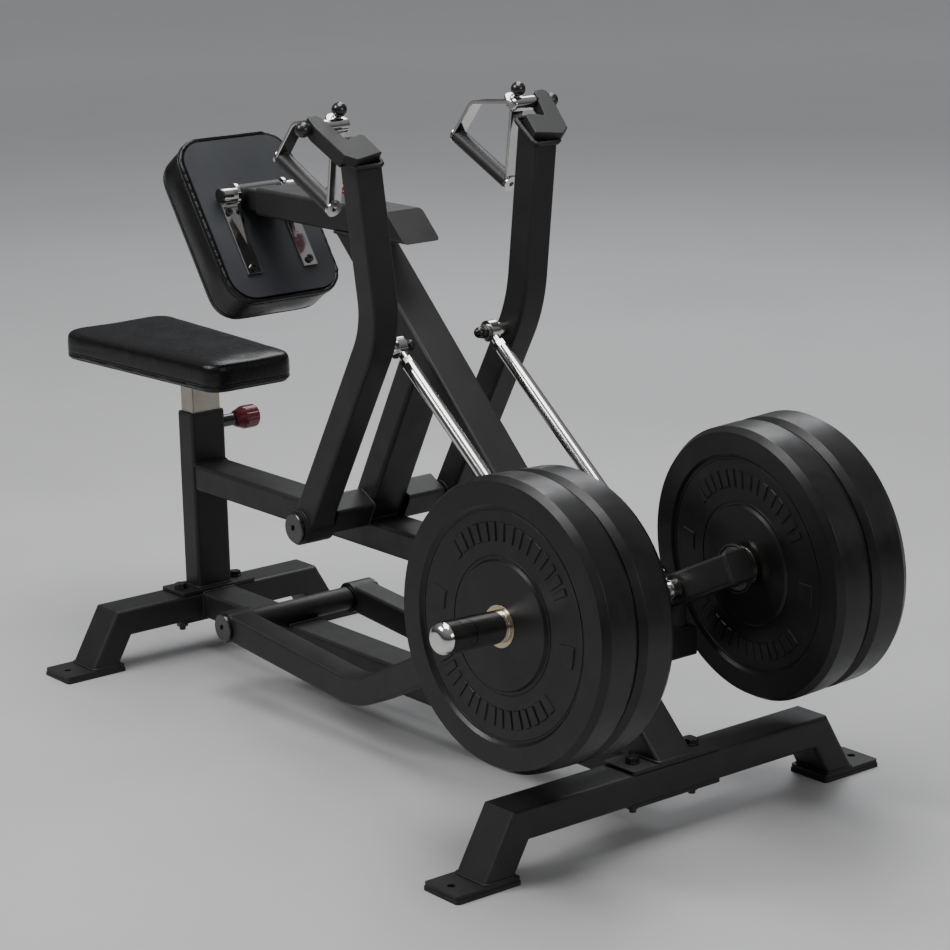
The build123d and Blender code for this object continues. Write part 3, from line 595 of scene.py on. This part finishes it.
def cloth_swelling(cover, start, normals, hold):
    """Blow the cover up as pressurised cloth; how far each vertex moves along its normal."""
    group = cover.vertex_groups.new(name="pin")
    for i in np.nonzero(hold > 0.01)[0]:
        group.add([int(i)], float(hold[i]), "REPLACE")
    cloth = cover.modifiers.new("cloth", "CLOTH")
    for key, value in CLOTH.items():
        setattr(cloth.settings, key, value)
    cloth.settings.effector_weights.gravity = 0
    cloth.collision_settings.use_collision = False
    cloth.collision_settings.use_self_collision = False
    cloth.point_cache.frame_start = 1
    cloth.point_cache.frame_end = CLOTH_FRAMES
    scene.frame_start, scene.frame_end = 1, CLOTH_FRAMES
    for number in range(1, CLOTH_FRAMES + 1):
        scene.frame_set(number)
        graph = bpy.context.evaluated_depsgraph_get()
    blown = read_vectors(cover.evaluated_get(graph).data.vertices)
    cover.modifiers.remove(cloth)
    scene.frame_set(1)
    return ((blown - start) * normals).sum(axis=1)


def puff(node, base, normal, inset, swell, pin_from, pin_fade):
    """The CAD pad as a soft covered pad: remeshed, inflated, its movement capped at `swell`.

    It is held at its base plane, from `pin_from` above it fading out over `pin_fade`.
    """
    cover = bpy.data.objects.new(node + "_cover", frame["nodes"][node].data.copy())
    scene.collection.objects.link(cover)
    bpy.context.view_layer.objects.active = cover
    cover.select_set(True)
    remesh = cover.modifiers.new("remesh", "REMESH")
    remesh.mode = "VOXEL"
    remesh.voxel_size = VOXEL
    bpy.ops.object.modifier_apply(modifier=remesh.name)
    data = cover.data
    relaxed = bmesh.new()
    relaxed.from_mesh(data)
    for _ in range(7):
        bmesh.ops.smooth_vert(relaxed, verts=relaxed.verts, factor=0.5,
                              use_axis_x=True, use_axis_y=True, use_axis_z=True)
    relaxed.to_mesh(data)
    relaxed.free()

    # start a little smaller so the pad has room to swell
    places = read_vectors(data.vertices)
    normals = read_vectors(data.vertices, "normal")
    height = (places - np.array(base)) @ np.array(normal)
    hold = np.clip(1 - (height - pin_from) / pin_fade, 0, 1)
    start = places - normals * (inset * (1 - hold))[:, None]
    write_places(data, start)
    # the firm foam keeps the cover taut, so the swelling is capped
    swelling = np.clip(cloth_swelling(cover, start, normals, hold), 0.0, swell) * (1 - hold)

    # even out the swelling, the normals and then the places over neighbouring vertices
    count = len(data.vertices)
    ends = np.zeros(len(data.edges) * 2, dtype=np.int32)
    data.edges.foreach_get("vertices", ends)
    first, second = ends.reshape(-1, 2).T
    degree = np.maximum(np.bincount(ends, minlength=count), 1)

    def neighbour_sum(values):
        return (np.bincount(first, weights=values[second], minlength=count)
                + np.bincount(second, weights=values[first], minlength=count))

    def neighbour_vectors(vectors):
        return np.stack([neighbour_sum(vectors[:, axis]) for axis in range(3)], axis=1)

    for _ in range(14):
        swelling = 0.4 * swelling + 0.6 * neighbour_sum(swelling) / degree
    for _ in range(3):
        normals = normals + neighbour_vectors(normals)
        normals = normals / np.maximum(np.linalg.norm(normals, axis=1), 1e-9)[:, None]
    places = start + normals * swelling[:, None]
    for _ in range(5):
        average = neighbour_vectors(places) / degree[:, None]
        places = places + (average - places) * (0.5 * (1 - hold))[:, None]
    write_places(data, places)
    return cover


def with_normals(data):
    """Vertices paired with the normals they have before any is moved."""
    normals = [vertex.normal.copy() for vertex in data.vertices]
    return zip(data.vertices, normals)


def dome(a, b):
    return (1 - min(1, a * a)) * (1 - min(1, b * b))


def surface_tree(obj):
    mesh = bmesh.new()
    mesh.from_mesh(obj.data)
    mesh.transform(obj.matrix_world)
    tree = BVHTree.FromBMesh(mesh)
    mesh.free()
    return tree


def outline(tree, centre, along, rays, push=0.0):
    """Smoothed outline of a soft body in the plane of `along` and Y, by rays from outside."""
    points = []
    for k in range(rays):
        angle = 2 * math.pi * k / rays
        direction = along * math.cos(angle) + Y * math.sin(angle)
        hit = tree.ray_cast(centre + direction * 0.8, -direction)[0]
        if hit is not None:
            points.append(hit + direction * push)
    count = len(points)
    for _ in range(3):
        points = [(points[i - 1] + points[i] * 2 + points[(i + 1) % count]) / 4
                  for i in range(count)]
    return points


def press_groove(cover, loop, width, depth):
    """Press a sewn line into a soft mesh along a loop."""
    path = resample(loop, SEAM_STEP)
    finder = KDTree(len(path))
    for i, p in enumerate(path):
        finder.insert(p, i)
    finder.balance()
    for vertex, normal in with_normals(cover.data):
        distance = finder.find(vertex.co)[2]
        if distance < width * 3:
            vertex.co -= normal * depth * math.exp(-(distance / width) ** 2)


def stitch(mesh, loop):
    path = resample(loop, STITCH_PITCH)
    for i, middle in enumerate(path):
        tangent = (path[(i + 1) % len(path)] - path[i - 1]).normalized()
        thread = [middle + tangent * STITCH_LENGTH * t for t, _ in STITCH_PROFILE]
        sweep_tube(mesh, thread, STITCH_RADIUS, 5, closed=False,
                   scales=[scale for _, scale in STITCH_PROFILE])


def dress(cover, node, body):
    subdivide = cover.modifiers.new("subdivide", "SUBSURF")
    subdivide.levels = subdivide.render_levels = 1
    bpy.context.view_layer.objects.active = cover
    bpy.ops.object.modifier_apply(modifier=subdivide.name)
    cover.data.materials.clear()
    cover.data.materials.append(MATERIALS["vinyl"])
    shade_smooth(cover.data)
    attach(cover, body)
    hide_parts(node)


def sew(cover, node, label, body, base, normal, along, groove_rays, seams):
    """Grooves, then piping and stitches on the finished cover.

    A seam is (height, groove width, groove depth, piping radius, stitch height), with
    heights measured from the base plane.
    """
    tree = surface_tree(cover)
    for height, width, depth, _, _ in seams:
        press_groove(cover, outline(tree, base + normal * height, along, groove_rays),
                     width, depth)
    dress(cover, node, body)
    tree = surface_tree(cover)
    piping = bmesh.new()
    for height, _, _, radius, _ in seams:
        loop = outline(tree, base + normal * height, along, SEAM_RAYS)
        sweep_tube(piping, resample(loop, SEAM_STEP), radius)
    add_piece(label + "_piping", piping, "vinyl", body)
    stitches = bmesh.new()
    for *_, height in seams:
        stitch(stitches, outline(tree, base + normal * height, along, SEAM_RAYS, push=0.0003))
    add_piece(label + "_stitches", stitches, "board", body)


def build_seat():
    node = "seat_cushion"
    low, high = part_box(node)
    middle_x, middle_z = (low.x + high.x) / 2, (low.z + high.z) / 2
    half_length = (high.x - low.x) / 2
    base = Vector((middle_x, 0, low.z))
    cover = puff(node, base, Z, inset=0.0025, swell=0.0045, pin_from=0.004, pin_fade=0.008)
    for vertex, normal in with_normals(cover.data):
        # crown the top
        along = (vertex.co.x - middle_x) / half_length
        across = vertex.co.y / HALF_WIDTH
        above = clamp01((vertex.co.z - middle_z) / (high.z - middle_z))
        vertex.co.z += 0.0025 * above * dome(along, across)
        # ripple the cover, most where it is folded under
        fold = max(0.0, 1 - (vertex.co.z - low.z) / 0.016)
        spot = Vector((vertex.co.x * 34, vertex.co.y * 34, vertex.co.z * 9))
        vertex.co += normal * (0.0005 * noise.noise(spot * 0.6) * (0.35 + fold))
        # gathers at the corners
        if max(abs(along), abs(across)) > 0.86:
            angle = math.atan2(vertex.co.y / HALF_WIDTH, along)
            corner = math.exp(-((abs(math.sin(2 * angle)) - 1) / 0.25) ** 2)
            gather = math.sin(vertex.co.z * 900 + 9 * angle)
            vertex.co += normal * (0.0006 * corner * gather * (0.3 + fold))
    sew(cover, node, "seat", "seat", base, Z, X, groove_rays=220,
        seams=((0.0125, 0.0022, 0.0016, 0.0016, 0.0172),))


def build_chest_pad():
    node = "chest_pad"
    base = point(225.0, 0, 854)
    normal = Vector((-0.825, 0, -0.565)).normalized()  # towards the user
    along = Vector((-0.565, 0, 0.825)).normalized()  # up the pad
    half_length = 0.166
    cover = puff(node, base, normal, inset=0.003, swell=0.0055, pin_from=0.006, pin_fade=0.010)
    for vertex, vertex_normal in with_normals(cover.data):
        # crown the face, then ripple the cover, most near the base
        offset = vertex.co - base
        height = offset.dot(normal)
        face = clamp01((height - 0.05) / 0.05)
        crown = dome(offset.dot(along) / half_length, offset.y / HALF_WIDTH)
        vertex.co += normal * (0.004 * face * crown)
        fold = max(0.0, 1 - height / 0.022)
        ripple = noise.noise(vertex.co * 26)
        vertex.co += vertex_normal * (0.0007 * ripple * (0.3 + fold))
    sew(cover, node, node, "chest", base, normal, along, groove_rays=240,
        seams=((0.0115, 0.0024, 0.0018, 0.0022, 0.0165),
               (0.072, 0.0022, 0.0016, 0.0014, 0.0675)))


build_seat()
build_chest_pad()

# ------------------------------------------------------------------ plate markings
INNER_FACE = 181.5  # along the horn from its root, mm
OUTER_FACE = INNER_FACE + 72 * 2 + 1.8
MARK_BOTTOM, MARK_TOP = -0.0048, -0.0026  # from the face
BLOCKS_INNER, BLOCKS_OUTER = 0.127, 0.157


def arc_block(mesh, matrix, radii, angles, top, steps=6, rounding=0.0012):
    """A raised block on a ring sector, its top drawn in by `rounding`; angles in degrees."""
    inner, outer = radii
    start, end = angles
    inset = math.degrees(rounding / outer)
    columns = []
    for k in range(steps + 1):
        foot = math.radians(lerp(start, end, k / steps))
        crest = math.radians(lerp(start + inset, end - inset, k / steps))
        columns.append([
            mesh.verts.new(matrix @ Vector((r * math.cos(angle), r * math.sin(angle), z)))
            for r, angle, z in (
                (inner, foot, MARK_BOTTOM), (inner + rounding, crest, top),
                (outer - rounding, crest, top), (outer, foot, MARK_BOTTOM))])
    for a, b in zip(columns, columns[1:]):
        for i in range(3):
            mesh.faces.new((a[i], a[i + 1], b[i + 1], b[i]))
        mesh.faces.new((a[3], a[0], b[0], b[3]))
    mesh.faces.new(columns[0])
    mesh.faces.new(list(reversed(columns[-1])))


def mark_plate(name, sign, side, face, outward):
    axis = horn_axis(sign)
    normal = axis if outward else -axis
    upward = (Z - normal * Z.dot(normal)).normalized()
    matrix = axes_matrix(upward, normal.cross(upward), normal, HORN_ROOT + axis * (face / 1000))
    mesh = bmesh.new()
    blocks = (BLOCKS_INNER, BLOCKS_OUTER)
    # plain raised index blocks above and below the hub, one pad at each side
    for centre in (-6, 174):
        for i in range(-7, 8):
            angle = centre + i * 7.6
            half = 2.3 if i % 3 else 3.0
            arc_block(mesh, matrix, blocks, (angle - half, angle + half), MARK_TOP)
    for centre in (84, 264):
        arc_block(mesh, matrix, blocks, (centre - 6.5, centre + 6.5), MARK_TOP, steps=10)
    # fine moulded rings at the recess edge and round the hub disc
    for radius in (0.1725, 0.1045):
        arc_block(mesh, matrix, (radius, radius + 0.0022), (0, 359.999),
                  MARK_BOTTOM + 0.0012, steps=120, rounding=0.0006)
    bmesh.ops.recalc_face_normals(mesh, faces=mesh.faces)
    add_piece(name, mesh, "plate_rubber", side + "_plates", smooth=False)


for sign, side in SIDES:
    mark_plate(side + "_outer_plate_marks_out", sign, side, OUTER_FACE, outward=True)
    mark_plate(side + "_inner_plate_marks_in", sign, side, INNER_FACE, outward=False)


# ------------------------------------------------------------------ ribbed grips
def build_grip(sign, side):
    end_gap = 0.0036
    radius = 0.01385
    rib_depth, rib_pitch = 0.00022, 0.0031
    rounding = 0.002
    sides, steps = 40, 190
    low_x_end = point(566, sign * 185, 1010)
    span = point(708, sign * 185, 941) - low_x_end
    axis = span.normalized()
    start = low_x_end + axis * end_gap
    length = span.length - 2 * end_gap
    axes = ring_axes(axis)
    mesh = bmesh.new()
    rings = []
    for i in range(steps + 1):
        t = i / steps
        x = t * length
        ring_radius = radius
        if 0.07 < t < 0.93:
            ring_radius -= rib_depth * (0.5 + 0.5 * math.cos(2 * math.pi * x / rib_pitch))
        from_end = min(x, length - x)
        if from_end < rounding:
            ring_radius -= (rounding - from_end) * 0.6
        rings.append(new_ring(mesh, start + axis * x, *axes, ring_radius, sides))
    bridge_open(mesh, rings)
    sleeve = add_piece(side + "_grip_sleeve", mesh, "grip_rubber", side + "_handle")
    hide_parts(side + "_handle_grip")


for sign, side in SIDES:
    build_grip(sign, side)


# ------------------------------------------------------------------ stage
def build_floor():
    bpy.ops.mesh.primitive_plane_add(size=90, location=(0, 0, 0))
    floor = bpy.context.object
    floor.name = "floor"
    floor.data.materials.append(floor_material("floor"))


def area_light(name, place, target, size, power, color):
    light = bpy.data.lights.new(name, "AREA")
    light.energy = power
    light.shape = "RECTANGLE"
    light.size, light.size_y = size
    light.color = color
    obj = bpy.data.objects.new(name, light)
    scene.collection.objects.link(obj)
    obj.location = place
    aim = Vector(target) - Vector(place)
    obj.rotation_euler = aim.to_track_quat("-Z", "Y").to_euler()


def build_world():
    world = bpy.data.worlds.new("w")
    scene.world = world
    world.use_nodes = True
    graph = Graph(world.node_tree)
    nodes = world.node_tree.nodes
    direction = graph.add("ShaderNodeTexCoord").outputs["Generated"]
    height = graph.add("ShaderNodeSeparateXYZ", {0: direction}).outputs["Z"]
    lighting = nodes["Background"]
    graph.feed(lighting.inputs[0], graph.ramp(
        height, ((0.0, (0.05, 0.05, 0.052)), (0.9, (0.62, 0.63, 0.65)))))
    lighting.inputs["Strength"].default_value = 0.55
    # the wall the camera sees is brighter than what the machine mirrors
    wall = graph.add("ShaderNodeBackground", {0: graph.ramp(
        height, ((0.0, (0.27, 0.27, 0.275)), (0.30, (0.20, 0.20, 0.204))))})
    seen = graph.add("ShaderNodeLightPath").outputs["Is Camera Ray"]
    mixed = graph.add("ShaderNodeMixShader",
                      {0: seen, 1: lighting.outputs[0], 2: wall.outputs[0]})
    graph.feed(nodes["World Output"].inputs[0], mixed.outputs[0])


def build_camera():
    azimuth, elevation, roll = (math.radians(a) for a in (51.62, 14.34, -1.22))
    back = Vector((math.sin(azimuth) * math.cos(elevation),
                   -math.cos(azimuth) * math.cos(elevation),
                   math.sin(elevation)))
    level = Vector((math.cos(azimuth), math.sin(azimuth), 0))
    upright = level.cross(-back)
    right = level * math.cos(roll) + upright * math.sin(roll)
    upward = upright * math.cos(roll) - level * math.sin(roll)
    lens = bpy.data.cameras.new("cam")
    camera = bpy.data.objects.new("cam", lens)
    scene.collection.objects.link(camera)
    camera.matrix_world = axes_matrix(right, upward, back, point(4465.66, -2876.92, 1672.2))
    lens.sensor_width = 36.0
    lens.lens = 109.0955368
    lens.shift_x = -0.00205263158
    lens.shift_y = -0.000663157895
    lens.clip_start, lens.clip_end = 0.1, 200
    scene.camera = camera


build_floor()
area_light("key", place=(-1.2, -3.4, 4.2), target=(0.1, 0, 0.5), size=(2.6, 1.8),
           power=150, color=(1.0, 0.99, 0.97))
area_light("rim", place=(-2.4, 2.8, 4.2), target=(0, 0, 0.6), size=(2.2, 3.0),
           power=95, color=(0.95, 0.98, 1.0))
area_light("fill", place=(4.6, 0.8, 2.4), target=(0, 0, 0.5), size=(2.4, 1.4),
           power=40, color=(1.0, 0.99, 0.98))
area_light("top", place=(0.2, 0.2, 4.6), target=(0, 0, 0), size=(3.4, 2.4),
           power=175, color=(1, 1, 1))
build_world()
build_camera()
scene.view_settings.view_transform = "AgX"
